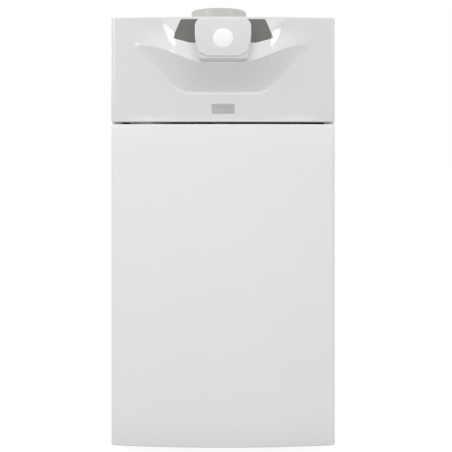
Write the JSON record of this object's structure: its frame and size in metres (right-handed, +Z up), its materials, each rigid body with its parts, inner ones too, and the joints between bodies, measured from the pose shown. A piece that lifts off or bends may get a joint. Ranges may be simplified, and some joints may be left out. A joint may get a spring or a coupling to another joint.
{
  "type": "floor standing gas boiler",
  "caption": "Floor standing condensing gas boiler in a white casing, with a bowed door, a beaked hood with a hinged control flap, and a coaxial flue collar on top.",
  "frame": {"origin": "on the floor under the middle of the whole object's box", "axes": "+Z up, the front faces -Y, +X to the right when seen from the front"},
  "size_m": [0.45, 0.6286, 0.9398],
  "materials": {
    "white_paint": "satin powder coat on sheet steel",
    "white_moulding": "smooth semi-gloss moulding",
    "flap_white": "glossy moulding",
    "disc_white": "gloss",
    "smoked": "dark smoked gloss",
    "satin_plate": "brushed satin",
    "galvanised": "galvanised sheet",
    "zinc": "bright zinc plate",
    "stainless": "stainless steel",
    "cast_aluminium": "cast, sand blasted",
    "brass": "machined",
    "black_plastic": "matt",
    "grey_plastic": "matt",
    "light_plastic": "matt",
    "collar_grey": "satin light grey",
    "circuit": "circuit board",
    "insulation": "fibre board",
    "lens": "clear",
    "gauge_glass": "clear",
    "red_enamel": "gloss",
    "yellow_paint": "gloss",
    "lead_rubber": "silicone"
  },
  "bodies": {
    "cabinet": {"hood": "white_moulding", "display_fascia": "smoked", "display_lens": "lens", "display_board": "circuit", "badge_plate": "satin_plate", "flap_hinge_pin": "zinc", "side_panel_left": "white_paint", "side_panel_right": "white_paint", "rear_panel": "galvanised", "top_panel": "white_paint", "base_tray": "galvanised", "upper_rail": "galvanised", "door_pivot_pins": "zinc", "casing_screws": "zinc", "control_box": "grey_plastic", "main_board": "circuit", "cable_glands": "black_plastic", "exchanger_shell": "stainless", "exchanger_coil": "stainless", "exchanger_cradle": "galvanised", "burner_door": "cast_aluminium", "burner_door_nuts": "zinc", "burner_insulation": "insulation", "burner_tube": "stainless", "electrodes": "light_plastic", "ignition_lead": "lead_rubber", "mixture_elbow": "cast_aluminium", "fan_housing": "cast_aluminium", "fan_motor": "black_plastic", "gas_mixer": "cast_aluminium", "intake_silencer": "black_plastic", "gas_valve": "cast_aluminium", "gas_pipe": "yellow_paint", "flow_pipe": "stainless", "return_pipe": "stainless", "condensate_trap": "light_plastic", "condensate_pipe": "light_plastic", "drain_cock": "brass", "pressure_gauge": "black_plastic", "gauge_glass": "gauge_glass", "flue_collar": "collar_grey", "flue_socket": "collar_grey", "flue_duct": "stainless"},
    "front_door": {"front_door": "white_paint", "door_inner_pan": "galvanised", "door_insulation": "insulation"},
    "control_flap": {"control_flap": "flap_white", "flap_disc": "disc_white"},
    "button_mode": {"button_mode": "light_plastic"},
    "button_minus": {"button_minus": "light_plastic"},
    "button_plus": {"button_plus": "light_plastic"},
    "button_reset": {"button_reset": "light_plastic"},
    "power_switch": {"power_switch": "black_plastic"},
    "gauge_needle": {"gauge_needle": "black_plastic"},
    "drain_lever": {"drain_lever": "red_enamel"},
    "fan_rotor": {"fan_impeller": "cast_aluminium"},
    "foot_front_left": {"foot_front_left": "black_plastic"},
    "foot_front_right": {"foot_front_right": "black_plastic"},
    "foot_rear_left": {"foot_rear_left": "black_plastic"},
    "foot_rear_right": {"foot_rear_right": "black_plastic"}
  },
  "joints": [
    {"name": "door_tilt", "type": "hinge", "parent": "cabinet", "child": "front_door", "pos_m": [0, -0.24369, 0.0225], "axis": [1, 0, 0], "range_deg": [0, 14]},
    {"name": "flap_hinge", "type": "hinge", "parent": "cabinet", "child": "control_flap", "pos_m": [0, -0.28607, 0.8634], "axis": [-1, 0, 0], "range_deg": [0, 95]},
    {"name": "button_mode_press", "type": "slide", "parent": "cabinet", "child": "button_mode", "axis": [0, 0.9563, -0.2924], "range_m": [0, 0.0012], "stiffness_N_per_m": 500, "springref_m": -0.001},
    {"name": "button_minus_press", "type": "slide", "parent": "cabinet", "child": "button_minus", "axis": [0, 0.9563, -0.2924], "range_m": [0, 0.0012], "stiffness_N_per_m": 500, "springref_m": -0.001},
    {"name": "button_plus_press", "type": "slide", "parent": "cabinet", "child": "button_plus", "axis": [0, 0.9563, -0.2924], "range_m": [0, 0.0012], "stiffness_N_per_m": 500, "springref_m": -0.001},
    {"name": "button_reset_press", "type": "slide", "parent": "cabinet", "child": "button_reset", "axis": [0, 0.9563, -0.2924], "range_m": [0, 0.0012], "stiffness_N_per_m": 500, "springref_m": -0.001},
    {"name": "power_rocker", "type": "hinge", "parent": "cabinet", "child": "power_switch", "pos_m": [0.032, -0.28442, 0.83015], "axis": [1, 0, 0], "range_deg": [0, 14]},
    {"name": "needle_turn", "type": "hinge", "parent": "cabinet", "child": "gauge_needle", "pos_m": [-0.148, -0.23869, 0.5805], "axis": [0, 1, 0], "range_deg": [0, 270], "stiffness_Nm_per_rad": 0.00005, "springref_deg": -57.3},
    {"name": "drain_quarter_turn", "type": "hinge", "parent": "cabinet", "child": "drain_lever", "pos_m": [0, -0.06369, 0.20141], "axis": [0, 1, 0], "range_deg": [0, 90]},
    {"name": "fan_spin", "type": "hinge", "parent": "cabinet", "child": "fan_rotor", "pos_m": [0, -0.15869, 0.55241], "axis": [1, 0, 0], "continuous": true},
    {"name": "foot_front_left_screw", "type": "slide", "parent": "cabinet", "child": "foot_front_left", "axis": [0, 0, -1], "range_m": [0, 0.02]},
    {"name": "foot_front_right_screw", "type": "slide", "parent": "cabinet", "child": "foot_front_right", "axis": [0, 0, -1], "range_m": [0, 0.02]},
    {"name": "foot_rear_left_screw", "type": "slide", "parent": "cabinet", "child": "foot_rear_left", "axis": [0, 0, -1], "range_m": [0, 0.02]},
    {"name": "foot_rear_right_screw", "type": "slide", "parent": "cabinet", "child": "foot_rear_right", "axis": [0, 0, -1], "range_m": [0, 0.02]}
  ]
}
